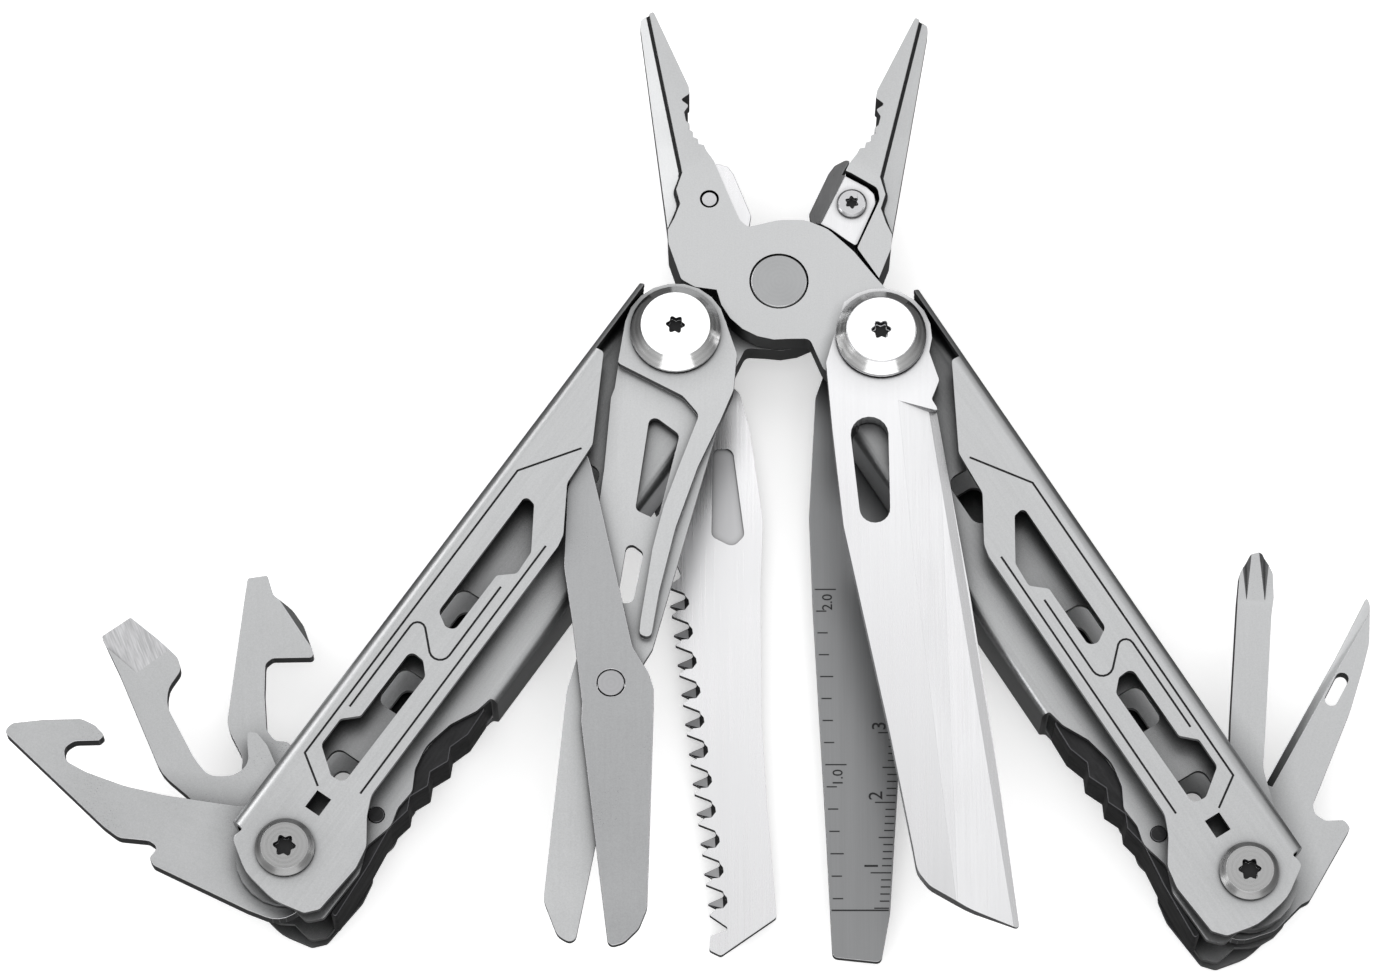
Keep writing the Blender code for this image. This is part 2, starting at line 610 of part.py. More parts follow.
def scissor_frame(parent):
    """Frame with two windows; its lower end is the rear scissor blade."""
    low, mid, high = 5.5, 6.6, 7.8
    outline = rounded(arc(0.0, 0.0, 7.1, 100.0, 258.0) + [
        (4.4, -7.9, 1.0), (8.0, -8.4, 1.0), (9.4, -8.9, 0.6),
        (20.0, -9.8), (47.0, -13.3, 2.0), (52.0, -14.7, 6.0), (81.3, -17.6, 2.5),
        (86.3, -15.7, 2.0), (87.6, -13.4, 1.0), (72.3, -10.4), (55.0, -6.2, 2.0),
        (48.5, -4.6, 2.0), (46.0, -3.1, 1.5), (29.0, 1.6, 6.0), (14.7, 5.6, 5.0),
        (8.8, 8.0, 1.5), (3.4, 8.5, 1.0),
    ])
    upper = rounded([(11.7, -3.5, 0.9), (14.9, 0.6, 1.0), (27.4, -2.4, 0.9), (25.9, -5.5, 0.9)])
    lower = rounded([(30.3, -6.6, 0.9), (32.1, -4.3, 1.0), (39.4, -5.8, 0.9), (39.4, -8.0, 0.6)])
    hole = circle(0.0, 0.0, HOLE_R, 28)
    pin = circle(51.2, -8.7, SCISSOR_RIVET_R + 0.1, 24)
    obj = plate("scissor_frame", [outline, hole, upper, lower, pin], low, high, SATIN, parent)
    step = bmesh.new()
    sunk = rounded([
        (3.5, -12.0), (3.6, -8.6, 0.4), (4.9, -7.7, 0.5), (9.6, 1.0, 1.6), (12.4, 3.3, 1.3),
        (19.1, 0.8, 6.0), (25.8, -1.6, 8.0), (31.9, -3.1, 6.0), (42.2, -4.7), (44.3, -4.9, 0.7),
        (44.8, -3.3, 0.7), (38.2, -2.2), (29.0, 0.0, 8.0), (20.0, 3.1, 6.0), (13.6, 6.0),
        (13.0, 9.0), (60.0, 9.0), (95.0, 0.0), (95.0, -24.0), (3.5, -24.0),
    ])
    add_prism(step, [sunk], mid, high + 1.0)
    boolean(obj, step, "DIFFERENCE", "sunk_face")
    wedge(obj, [(50.0, -4.0, mid + 0.01), (60.0, -5.6, low - 0.4), (90.0, -12.0, low - 0.4),
                (60.0, -8.6, low - 0.02), (90.0, -14.6, low - 0.02), (60.0, -5.6, low + 0.5),
                (90.0, -12.0, low + 0.5)], "rear_grind")
    return obj


def scissor_lever(parent):
    """Front scissor blade with its thumb lever; the origin is its rivet."""
    ru, rv = 51.2, -8.7
    outline = [
        (17.9, -12.2, 1.2), (20.1, -11.5, 2.0), (26.2, -10.1, 4.0), (46.0, -5.8, 3.0),
        (49.8, -3.6, 3.0), (52.0, -2.9, 2.0), (54.6, -2.9, 2.0), (82.8, -3.7, 3.0),
        (85.6, -4.8, 2.0), (87.6, -6.8, 2.0), (88.2, -8.9, 0.8), (56.8, -12.7, 1.5),
        (54.1, -12.6, 1.5), (43.2, -13.9, 8.0), (34.5, -15.2, 6.0), (23.4, -14.8, 4.0),
        (19.0, -13.4, 1.5),
    ]
    outline = rounded([(p[0] - ru, p[1] - rv) + tuple(p[2:]) for p in outline])
    obj = plate("scissor_lever", [outline, circle(0.0, 0.0, SCISSOR_RIVET_R + 0.15, 24)],
                6.75, 7.8, SATIN, parent)
    return obj


def hook_opener(side, parent):
    outline = [
        (-7.6, 42.2, 1.0), (-6.0, 42.0, 1.2), (-3.2, 38.8, 5.0), (-0.1, 34.6, 1.5),
        (0.2, 32.6, 1.0), (-0.2, 30.6, 0.4), (-1.2, 30.8, 0.3), (-3.2, 33.5, 1.5),
        (-4.9, 34.1, 1.2), (-6.1, 32.6, 1.2), (-5.8, 29.6, 3.0), (-4.4, 24.1, 8.0),
        (-2.2, 18.6, 8.0), (2.2, 9.7, 3.0), (6.8, 3.6, 3.0), (6.6, -4.4, 4.0),
        (0.4, -8.0, 5.0), (-7.8, -4.4, 4.0), (-8.9, 0.2, 0.8), (-11.1, 14.2, 0.8),
        (-10.6, 15.3, 0.5), (-8.7, 15.2, 0.6), (-8.7, 16.8, 1.0), (-10.7, 20.4, 2.0),
        (-10.6, 23.0, 3.0),
    ]
    obj = plate("hook_opener", [mirrored(rounded(outline), side), circle(0.0, 0.0, HOLE_R, 28)],
                1.6, 3.9, SATIN, parent)
    return obj


def flat_driver(side, parent):
    outline = [
        (11.6, 40.4, 0.3), (16.1, 38.8, 0.3), (15.6, 33.6, 4.0), (15.0, 29.8, 2.0),
        (13.8, 28.4, 1.5), (10.8, 28.3, 3.0), (8.6, 27.0, 4.0), (4.6, 19.2, 6.0),
        (3.8, 16.3, 2.5), (5.6, 13.7, 3.0), (8.2, 12.7, 2.5), (10.4, 14.6, 1.5),
        (11.9, 15.7, 0.4), (12.5, 14.6, 0.5), (11.9, 12.4, 2.0), (9.6, 8.6, 4.0),
        (6.8, 1.6, 4.0), (5.6, -4.8, 4.0), (-2.0, -6.9, 5.0), (-7.0, -1.4, 5.0),
        (-5.4, 7.0, 6.0), (-0.2, 15.6, 6.0), (0.4, 21.7, 6.0), (3.1, 26.1, 6.0),
        (8.6, 35.0, 6.0),
    ]
    obj = plate("flat_driver", [mirrored(rounded(outline), side), circle(0.0, 0.0, HOLE_R, 28)],
                -1.1, 1.1, SATIN, parent)
    # the tip is ground thin from both faces
    for z, label in ((1, "front_tip"), (-1, "rear_tip")):
        wedge(obj, [(10.0, 33.0 * side, z * 1.11), (16.5, 31.0 * side, z * 1.11),
                    (11.0, 42.0 * side, z * 0.35), (18.0, 40.0 * side, z * 0.35),
                    (10.0, 33.0 * side, z * 3.0), (16.5, 31.0 * side, z * 3.0),
                    (11.0, 42.0 * side, z * 3.0), (18.0, 40.0 * side, z * 3.0)], label)
    return obj


def can_opener(side, parent):
    outline = [
        (30.4, 29.6, 0.3), (32.3, 27.6, 0.3), (30.4, 25.2, 1.5), (30.4, 22.0, 3.0),
        (29.4, 19.3, 3.0), (26.4, 15.2, 0.5), (23.0, 19.9, 0.8), (21.8, 20.2, 0.8),
        (18.2, 17.7, 4.0), (14.2, 14.4, 1.5), (13.6, 12.6, 1.2), (14.6, 11.0, 1.0),
        (12.2, 6.4, 3.0), (7.4, 2.4, 3.0), (6.4, -4.2, 4.0), (0.0, -7.0, 5.0),
        (-6.6, -2.0, 5.0), (-4.6, 6.0, 5.0), (3.6, 11.4, 5.0), (9.2, 14.8, 2.0),
        (11.0, 18.2, 2.0), (12.0, 19.5, 3.0), (27.8, 28.2, 6.0),
    ]
    obj = plate("can_opener", [mirrored(rounded(outline), side), circle(0.0, 0.0, HOLE_R, 28)],
                -3.9, -1.8, SATIN, parent)
    # the curved edge is ground to a cutting bevel on the front face
    chord = [(30.55, 24.6 * side), (26.9, 15.4 * side)]
    wedge(obj, [(u, v, h) for u, v in chord for h in (-1.795, 0.0)]
          + [(u + 1.5, v - 0.6 * side, -3.3) for u, v in chord]
          + [(u + 3.0, v - 1.2 * side, 0.0) for u, v in chord], "cutting_bevel")
    return obj


def phillips(side, parent):
    outline = [
        (38.3, 27.9, 0.5), (38.6, 26.8, 0.5), (37.0, 23.9, 1.0), (34.1, 21.6, 1.0),
        (19.7, 10.8, 4.0), (11.0, 4.6, 3.0), (6.6, 1.0, 3.0), (5.6, -4.6, 4.0),
        (-1.6, -6.9, 5.0), (-6.9, -1.6, 5.0), (-5.0, 5.4, 4.0), (2.0, 7.6, 4.0),
        (12.0, 10.9, 5.0), (14.6, 12.9, 3.0), (29.7, 24.2, 3.0), (31.5, 25.8, 1.0),
        (34.6, 27.8, 1.0), (38.0, 28.4, 0.5),
    ]
    obj = plate("phillips_driver",
                [mirrored(rounded(outline), side), circle(0.0, 0.0, HOLE_R, 28)],
                0.4, 3.9, SATIN, parent)
    middle = 2.15
    c, s = math.cos(math.radians(34.2)), math.sin(math.radians(34.2))

    def at(along, across, z):
        """A point measured from the tip: along the shank, across it, and its height."""
        return 38.4 + along * c - across * s, (27.5 + along * s + across * c) * side, z

    for z, word in ((1, "front"), (-1, "rear")):
        top, low, above = middle + z * 1.76, middle + z * 0.8, middle + z * 3.8
        wedge(obj, [at(-8.0, 3.5, top), at(-8.0, -3.5, top), at(0.5, 3.5, low),
                    at(0.5, -3.5, low), at(-8.0, 3.5, above), at(-8.0, -3.5, above),
                    at(0.5, 3.5, above), at(0.5, -3.5, above)], word + "_tip")
        # two flutes leave a narrow wing between them, and deepen toward the tip
        for across in (-1.25, 1.25):
            high = middle + z * 2.15
            wedge(obj, [at(-7.0, across, middle + z * 1.6), at(-7.0, across - 0.3, high),
                        at(-7.0, across + 0.3, high), at(1.0, across, middle - z * 0.12),
                        at(1.0, across - 2.2, high), at(1.0, across + 2.2, high)],
                  f"{word}_flute_{'left' if across < 0 else 'right'}")
    return obj


def awl(side, parent):
    outline = [
        (26.0, 38.1, 0.2), (24.6, 37.6, 2.0), (20.0, 34.3, 4.0), (17.2, 31.2, 4.0),
        (13.4, 26.7, 8.0), (5.0, 14.8, 2.0), (3.8, 14.3, 1.0), (2.2, 15.0, 1.0),
        (1.0, 17.2, 0.6), (-0.4, 17.3, 0.6), (-5.9, 6.9, 0.8), (-5.8, 5.6, 0.8),
        (-7.0, 0.6, 3.0), (-5.6, -5.2, 4.0), (2.0, -6.9, 5.0), (6.8, -1.0, 4.0),
        (8.4, 6.4, 4.0), (10.8, 10.9, 4.0), (21.0, 29.6, 8.0),
    ]
    eye = stadium(17.8, 28.3, 0.9, 16.1, 25.4, 0.9)
    obj = plate("awl", [mirrored(rounded(outline), side), circle(0.0, 0.0, HOLE_R, 28),
                        mirrored(eye, side)], -2.4, -0.3, SATIN, parent)
    wedge(obj, [(11.6, 10.4 * side, -0.29), (27.4, 38.2 * side, -0.29),
                (10.0, 11.6 * side, -0.29 + 0.001), (24.2, 37.9 * side, -0.29 + 0.001),
                (11.6, 10.4 * side, -1.6), (27.4, 38.2 * side, -1.6),
                (12.6, 10.0 * side, 1.0), (28.4, 38.0 * side, 1.0),
                (10.0, 11.6 * side, 1.0), (24.2, 37.9 * side, 1.0)], "reamer_bevel")
    return obj


# ---- assembly --------------------------------------------------------------------------
def polar(length, degrees):
    return length * math.cos(math.radians(degrees)), length * math.sin(math.radians(degrees))


def assemble():
    for old in list(bpy.data.objects):
        bpy.data.objects.remove(old, do_unlink=True)

    left_jaw_axis = axis("left_jaw_axis", None, (0.0, 0.0), LEFT_JAW_OPEN)
    right_jaw_axis = axis("right_jaw_axis", left_jaw_axis, (0.0, 0.0), -RIGHT_JAW_OPEN)
    right_pivot = polar(LINK, -90.0 + LINK_ANGLE + LEFT_JAW_OPEN)
    left_pivot = polar(LINK, -90.0 - LINK_ANGLE - RIGHT_JAW_OPEN)
    sides = {
        "left": (-1, left_pivot, LEFT_HANDLE_DIR, right_jaw_axis),
        "right": (1, right_pivot, RIGHT_HANDLE_DIR, left_jaw_axis),
    }

    jaw("left_jaw", -1, 1, left_jaw_axis)
    jaw("right_jaw", 1, -1, right_jaw_axis)
    bm = bmesh.new()
    add_lathe(bm, [(0.0, -JAW_HALF), (RIVET_R - 0.2, -JAW_HALF), (RIVET_R, -JAW_HALF + 0.2),
                   (RIVET_R, JAW_HALF - 0.2), (RIVET_R - 0.2, JAW_HALF), (0.0, JAW_HALF)], 48)
    solid("plier_rivet", bm, SATIN, left_jaw_axis, smooth=True)
    cutter_insert("left_cutter_insert", -1, 1, left_jaw_axis)
    cutter_insert("right_cutter_insert", 1, -1, right_jaw_axis)

    for name, sx, z, hold in (("left_insert_screw", -1, -1, left_jaw_axis),
                              ("right_insert_screw", 1, 1, right_jaw_axis)):
        bm = bmesh.new()
        profile = [(0.0, -3.9), (1.05, -3.9), (1.05, 3.35), (2.1, 3.35), (2.1, 3.7),
                   (1.8, 3.95), (0.0, 3.95)]
        add_lathe(bm, [(r, z * h) for r, h in profile], 28)
        screw = solid(name, bm, POLISHED, hold, (4.2 * sx, 15.2), smooth=True)
        cut = bmesh.new()
        torx(cut, 0.0, 0.0, 0.85, z * 3.2, z * 5.0)
        boolean(screw, cut, "DIFFERENCE", "socket")

    for jaw_name, sx in (("left_jaw", -1), ("right_jaw", 1)):
        hole = bmesh.new()
        add_prism(hole, [circle(4.2 * sx, 15.2, 1.35, 24)], -6.0, 6.0)
        boolean(bpy.data.objects[jaw_name], hole, "DIFFERENCE", "screw_hole")

    tool_axis = {}
    for word, (side, pivot, heading, hold) in sides.items():
        frame = axis(word + "_handle_axis", hold, pivot, heading)
        handle(word + "_handle", side, frame)
        screw_pair(word + "_plier", frame, 0.0, SLOT_OUT, PLIER_HEAD_R, PLIER_FACE_R, 0.5)
        screw_pair(word + "_tool", frame, SPAN, TOOL_HEAD_LOW, TOOL_HEAD_R, TOOL_FACE_R, 0.3)
        dx, dy = polar(LOCK_PIN_U, heading)
        ox, oy = turned(0.0, LOCK_PIN_V * side, heading)
        at = (pivot[0] + dx + ox, pivot[1] + dy + oy)
        bm = bmesh.new()
        add_lathe(bm, [(0.0, -WALL_OUT - 0.15), (LOCK_PIN_R, -WALL_OUT - 0.15),
                       (LOCK_PIN_R, WALL_OUT + 0.15), (0.0, WALL_OUT + 0.15)], 24)
        solid(word + "_lock_pin", bm, BLACK, frame, (LOCK_PIN_U, LOCK_PIN_V * side), smooth=True)
        lever = axis(word + "_lock_axis", frame, at, heading)
        lock_lever(word + "_lock_lever", side, lever)
        ex, ey = polar(SPAN, heading)
        tool_axis[word] = (frame, (pivot[0] + ex, pivot[1] + ey), heading + 180.0)

    left_frame, left_end, left_back = tool_axis["left"]
    right_frame, right_end, right_back = tool_axis["right"]
    scissors = axis("scissor_axis", left_frame, left_pivot, -90.0)
    scissor_frame(scissors)
    rivet_at = (left_pivot[0] - 8.7, left_pivot[1] - 51.2)
    bm = bmesh.new()
    add_lathe(bm, [(0.0, 5.5), (SCISSOR_RIVET_R, 5.5), (SCISSOR_RIVET_R, 7.82),
                   (SCISSOR_RIVET_R - 0.15, 7.9), (0.0, 7.9)], 32)
    solid("scissor_rivet", bm, SATIN, scissors, (51.2, -8.7), smooth=True)
    scissor_lever(axis("scissor_lever_axis", scissors, rivet_at, -90.0))
    saw(axis("saw_axis", left_frame, left_pivot, -90.0))
    knife(axis("knife_axis", right_frame, right_pivot, -90.0))
    file_blade(axis("file_axis", right_frame, right_pivot, -90.0))

    hook_opener(1, axis("hook_axis", left_frame, left_end, left_back))
    flat_driver(1, axis("flat_driver_axis", left_frame, left_end, left_back))
    can_opener(1, axis("can_opener_axis", left_frame, left_end, left_back))
    phillips(-1, axis("phillips_axis", right_frame, right_end, right_back))
    awl(-1, axis("awl_axis", right_frame, right_end, right_back))
    bm = bmesh.new()
    add_lathe(bm, [(4.6, -3.9), (4.6, -2.7), (HOLE_R, -2.7), (HOLE_R, -3.9)], 32)
    solid("right_tool_spacer", bm, MID, right_frame, (SPAN, 0.0), smooth=True)


assemble()
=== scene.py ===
"""Looks for the plier multi tool: steel finishes, softened edges, ruler marks and light.

Lengths are metres in the frame's own axes, or millimetres where they are multiplied by MM.
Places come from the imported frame: joint positions, node boxes and the tool's middle plane.
"""

import json
import math

import bpy
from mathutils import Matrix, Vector


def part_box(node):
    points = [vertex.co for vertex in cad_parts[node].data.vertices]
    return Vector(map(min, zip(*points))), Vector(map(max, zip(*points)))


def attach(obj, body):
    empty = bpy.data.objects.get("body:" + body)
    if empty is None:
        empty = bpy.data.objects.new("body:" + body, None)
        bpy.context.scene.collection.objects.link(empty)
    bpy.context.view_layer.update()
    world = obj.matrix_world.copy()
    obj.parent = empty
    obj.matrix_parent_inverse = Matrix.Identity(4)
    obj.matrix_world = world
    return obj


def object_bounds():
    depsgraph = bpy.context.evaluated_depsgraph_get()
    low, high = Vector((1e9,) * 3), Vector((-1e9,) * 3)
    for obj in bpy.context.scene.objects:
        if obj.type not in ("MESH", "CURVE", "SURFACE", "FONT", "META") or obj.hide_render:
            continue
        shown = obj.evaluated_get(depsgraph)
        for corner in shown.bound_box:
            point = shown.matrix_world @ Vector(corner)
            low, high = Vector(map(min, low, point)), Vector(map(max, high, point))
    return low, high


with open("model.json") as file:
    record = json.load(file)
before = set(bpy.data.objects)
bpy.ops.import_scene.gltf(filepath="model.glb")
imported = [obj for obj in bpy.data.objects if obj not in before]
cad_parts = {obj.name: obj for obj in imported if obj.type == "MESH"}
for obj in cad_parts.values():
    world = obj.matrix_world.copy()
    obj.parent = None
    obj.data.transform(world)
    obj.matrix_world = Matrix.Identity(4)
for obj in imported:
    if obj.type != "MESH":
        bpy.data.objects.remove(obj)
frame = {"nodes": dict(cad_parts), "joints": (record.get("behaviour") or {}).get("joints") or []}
cad_low, cad_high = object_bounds()

NODES = frame["nodes"]
JOINTS = {joint["name"]: joint for joint in frame["joints"]}
MM = 0.001


# ---- places read from the frame --------------------------------------------------------
def pivot(joint_name):
    return Vector(JOINTS[joint_name]["pos_m"])


def centre(node):
    low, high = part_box(node)
    return (low + high) / 2.0


def heading(start, end):
    return math.atan2(end.y - start.y, end.x - start.x)


RIVET = pivot("plier_hinge")
MID_Z = RIVET.z
TOOL_HINGES = {"left": "hook_hinge", "right": "phillips_hinge"}
DOWN_THE_BLADES = -math.pi / 2.0


def level(point):
    """Height over the tool's middle plane, in millimetres."""
    return (point.z - MID_Z) / MM


# ---- small node-tree language ----------------------------------------------------------
class Tree:
    """A material's node tree with short calls for the nodes used here."""

    def __init__(self, name, metal=0.0):
        self.material = bpy.data.materials.new(name)
        self.material.use_nodes = True
        self.nodes = self.material.node_tree.nodes
        self.links = self.material.node_tree.links
        self.shader = self.nodes["Principled BSDF"]
        self.shader.inputs["Metallic"].default_value = metal

    def add(self, kind, **settings):
        node = self.nodes.new(kind)
        for key, value in settings.items():
            setattr(node, key, value)
        return node

    def join(self, out, into):
        self.links.new(out, into)

    def place(self, turn=0.0, scale=(1.0, 1.0, 1.0), origin=(0.0, 0.0, 0.0)):
        """Object coordinates turned about z so that x runs along the brushing."""
        coordinates = self.add("ShaderNodeTexCoord")
        moved = self.add("ShaderNodeVectorMath", operation="SUBTRACT")
        moved.inputs[1].default_value = origin
        self.join(coordinates.outputs["Object"], moved.inputs[0])
        turned = self.add("ShaderNodeVectorRotate", rotation_type="Z_AXIS")
        turned.inputs["Angle"].default_value = -turn
        self.join(moved.outputs[0], turned.inputs["Vector"])
        sized = self.add("ShaderNodeVectorMath", operation="MULTIPLY")
        sized.inputs[1].default_value = scale
        self.join(turned.outputs[0], sized.inputs[0])
        return sized.outputs[0]

    def noise(self, where, scale=1.0, detail=2.0, rough=0.5):
        node = self.add("ShaderNodeTexNoise")
        node.inputs["Scale"].default_value = scale
        node.inputs["Detail"].default_value = detail
        node.inputs["Roughness"].default_value = rough
        self.join(where, node.inputs["Vector"])
        return node.outputs["Fac"]

    def grain(self, scale, detail=2.0, rough=0.5):
        """Noise that is the same in every direction, with scale cells to a metre."""
        return self.noise(self.place(), scale, detail, rough)

    def strokes(self, turn, along, across, detail=2.0, rough=0.5):
        """Noise drawn out along the turn: along and across are cells to a metre."""
        return self.noise(self.place(turn, (along, across, across)), 1.0, detail, rough)

    def remap(self, value, low, high, from_low=0.3, from_high=0.7):
        node = self.add("ShaderNodeMapRange")
        node.inputs["From Min"].default_value = from_low
        node.inputs["From Max"].default_value = from_high
        node.inputs["To Min"].default_value = low
        node.inputs["To Max"].default_value = high
        self.join(value, node.inputs["Value"])
        return node.outputs["Result"]

    def math(self, operation, a, b):
        node = self.add("ShaderNodeMath", operation=operation)
        for socket, value in zip(node.inputs, (a, b)):
            if isinstance(value, (int, float)):
                socket.default_value = value
            else:
                self.join(value, socket)
        return node.outputs[0]

    def product(self, *factors):
        result = factors[0]
        for factor in factors[1:]:
            result = self.math("MULTIPLY", result, factor)
        return result

    def tint(self, colour, factor):
        """The colour times a grey factor that varies over the surface."""
        node = self.add("ShaderNodeVectorMath", operation="SCALE")
        node.inputs[0].default_value = colour
        self.join(factor, node.inputs["Scale"])
        return node.outputs[0]

    def painted_gap_shade(self, distance, low):
        """Painted shade: a colour factor that is 1 on open faces and on the underside, falling
        to low in gaps and under nearby pieces closer than the distance.
        """
        node = self.add("ShaderNodeAmbientOcclusion", samples=8)
        node.inputs["Distance"].default_value = distance
        gap = self.remap(node.outputs["AO"], 1.0 - low, 0.0, 0.3, 0.99)
        split = self.add("ShaderNodeSeparateXYZ")
        self.join(self.add("ShaderNodeTexCoord").outputs["Normal"], split.inputs[0])
        upward = self.remap(split.outputs["Z"], 0.0, 1.0, -0.8, -0.4)
        return self.math("SUBTRACT", 1.0, self.product(gap, upward))

    def bump(self, height, strength, distance, onto=None):
        node = self.add("ShaderNodeBump")
        node.inputs["Strength"].default_value = strength
        node.inputs["Distance"].default_value = distance
        self.join(height, node.inputs["Height"])
        if onto is not None:
            self.join(onto, node.inputs["Normal"])
        return node.outputs["Normal"]

    def finish(self, colour, rough, normal=None):
        for socket, value in (("Base Color", colour), ("Roughness", rough), ("Normal", normal)):
            if value is not None:
                self.join(value, self.shader.inputs[socket])
        return self.material


# ---- steel finishes --------------------------------------------------------------------
def blasted_steel(name, colour, rough, turn, streaks, reach=4.0):
    """Bead-blasted steel: a faint grain along the turn, with painted shade in gaps and under
    nearby pieces within reach (mm).
    """
    t = Tree(name, metal=1.0)
    grain = t.grain(5200.0, 3.0, 0.65)
    along = t.strokes(turn, 90.0, 2600.0, 3.0, 0.6)
    smudge = t.grain(70.0, 3.0, 0.55)
    tone = t.product(t.remap(grain, 0.92, 1.06),
                     t.remap(along, 1.0 - 0.07 * streaks, 1.0 + 0.07 * streaks),
                     t.remap(smudge, 0.96, 1.03),
                     t.painted_gap_shade(reach * MM, 0.12))
    roughness = t.math("ADD", t.remap(grain, -0.04, 0.05),
                       t.remap(smudge, rough - 0.03, rough + 0.05))
    normal = t.bump(along, 0.10 * streaks, 0.02 * MM, t.bump(grain, 0.16, 0.03 * MM))
    return t.finish(t.tint(colour, tone), roughness, normal)


def ground_steel(name, colour, rough, turn, depth=0.16, reach=4.0, lines=1.0):
    """Ground and lapped steel with fine scratches that run one way, and painted shade in gaps
    and under nearby pieces within reach (mm).
    """
    t = Tree(name, metal=1.0)
    fine = t.strokes(turn, 45.0, 4200.0, 4.0, 0.7)
    coarse = t.strokes(turn, 25.0, 800.0)
    cloud = t.grain(45.0)
    tone = t.product(t.remap(fine, 1.0 - 0.05 * lines, 1.0 + 0.04 * lines),
                     t.remap(coarse, 1.0 - 0.03 * lines, 1.0 + 0.02 * lines),
                     t.painted_gap_shade(reach * MM, 0.15))
    roughness = t.math("ADD", t.remap(fine, -0.03, 0.05),
                       t.remap(cloud, rough - 0.03, rough + 0.04))
    return t.finish(t.tint(colour, tone), roughness, t.bump(fine, depth, 0.015 * MM))


def filed_steel(name, colour, rough, turn):
    """Coarse parallel strokes of a grinding wheel, with painted shade in gaps closer than 1 mm.
    """
    t = Tree(name, metal=1.0)
    strokes = t.strokes(turn, 260.0, 3800.0)
    tone = t.product(t.remap(strokes, 0.76, 1.10), t.painted_gap_shade(1.0 * MM, 0.3))
    return t.finish(t.tint(colour, tone), t.remap(strokes, rough - 0.04, rough + 0.08),
                    t.bump(strokes, 0.6, 0.06 * MM))


def turned_steel(name, colour, rough, around):
    """Lathe-turned steel: fine rings about the given centre, with painted shade in gaps closer
    than 1 mm.
    """
    t = Tree(name, metal=1.0)
    wave = t.add("ShaderNodeTexWave", wave_type="RINGS", rings_direction="Z")
    wave.inputs["Scale"].default_value = 520.0
    wave.inputs["Distortion"].default_value = 1.2
    wave.inputs["Detail"].default_value = 2.0
    t.join(t.place(origin=around), wave.inputs["Vector"])
    rings = wave.outputs["Fac"]
    cloud = t.grain(160.0, 3.0, 0.6)
    tone = t.product(t.remap(rings, 0.95, 1.02, 0.0, 1.0), t.painted_gap_shade(1.0 * MM, 0.3))
    roughness = t.math("ADD", t.remap(rings, -0.02, 0.04, 0.0, 1.0),
                       t.remap(cloud, rough - 0.03, rough + 0.05))
    return t.finish(t.tint(colour, tone), roughness, t.bump(rings, 0.12, 0.01 * MM))


def black_oxide(name, turn):
    """Black-coated steel that shows a little worn metal sheen."""
    t = Tree(name, metal=0.35)
    t.shader.inputs["Specular IOR Level"].default_value = 0.35
    grain = t.grain(3600.0, 3.0, 0.6)
    wear = t.strokes(turn, 160.0, 900.0, 4.0, 0.7)
    tone = t.product(t.remap(wear, 0.6, 1.9, 0.35, 0.8), t.remap(grain, 0.85, 1.15))
    roughness = t.math("ADD", t.remap(grain, -0.04, 0.04), t.remap(wear, 0.44, 0.30))
    return t.finish(t.tint((0.014, 0.014, 0.015), tone), roughness,
                    t.bump(grain, 0.25, 0.03 * MM))


def edge_steel(name, colour, rough):
    """Edges polished bright by handling."""
    t = Tree(name, metal=1.0)
    nicks = t.grain(1400.0, 3.0, 0.6)
    return t.finish(t.tint(colour, t.remap(nicks, 0.88, 1.08)),
                    t.remap(nicks, rough - 0.04, rough + 0.08))


def dark_mark_and_shade_finish(name, colour, rough):
    """Dark colour: printed ruler marks, and painted shade in engraved lines, jaw grooves, socket
    walls and the saw's raker bevels.
    """
    t = Tree(name, metal=0.3)
    specks = t.grain(2500.0)
    return t.finish(t.tint(colour, t.remap(specks, 0.8, 1.3)),
                    t.remap(specks, rough - 0.08, rough + 0.06))


HANDLE_GREY = (0.48, 0.485, 0.49)
JAW_GREY = (0.52, 0.525, 0.53)
SCISSOR_GREY = (0.51, 0.515, 0.52)
SCISSOR_LEVER_GREY = (0.37, 0.374, 0.38)
INNER_TOOL_GREY = (0.46, 0.465, 0.47)
# dark grey painted on upright walls as shade
SHADED_WALLS_GREY = (0.19, 0.192, 0.195)
KNIFE_WHITE = (0.64, 0.64, 0.65)
SAW_WHITE = (0.70, 0.70, 0.71)
# painted shade of the saw's hollow
SAW_HOLLOW_SHADE_GREY = (0.54, 0.54, 0.55)
FILE_GREY = (0.25, 0.253, 0.257)
FILE_CUT_GREY = (0.30, 0.303, 0.307)
DRIVER_TIP_GREY = (0.52, 0.52, 0.53)
INSERT_WHITE = (0.66, 0.66, 0.67)
RIVET_GREY = (0.38, 0.385, 0.39)
SCISSOR_RIVET_GREY = (0.40, 0.40, 0.41)
PLIER_SCREW_WHITE = (0.86, 0.86, 0.86)
TOOL_SCREW_GREY = (0.36, 0.36, 0.36)
INSERT_SCREW_GREY = (0.46, 0.46, 0.47)
SPACER_GREY = (0.6, 0.6, 0.61)

EDGE = edge_steel("worn_edge", (0.50, 0.50, 0.51), 0.22)
DARK_EDGE = edge_steel("worn_black_edge", (0.09, 0.09, 0.095), 0.30)
# printed marks, and painted shade in grooves, sockets and bevels
MARKS_AND_SHADE = dark_mark_and_shade_finish("dark_marks_and_shade", (0.012, 0.012, 0.013), 0.6)
# painted shade for the upright walls of the flat pieces
SHADED_WALLS = blasted_steel("shaded_walls_steel", SHADED_WALLS_GREY, 0.42, turn=0.0, streaks=0.3, reach=3.0)

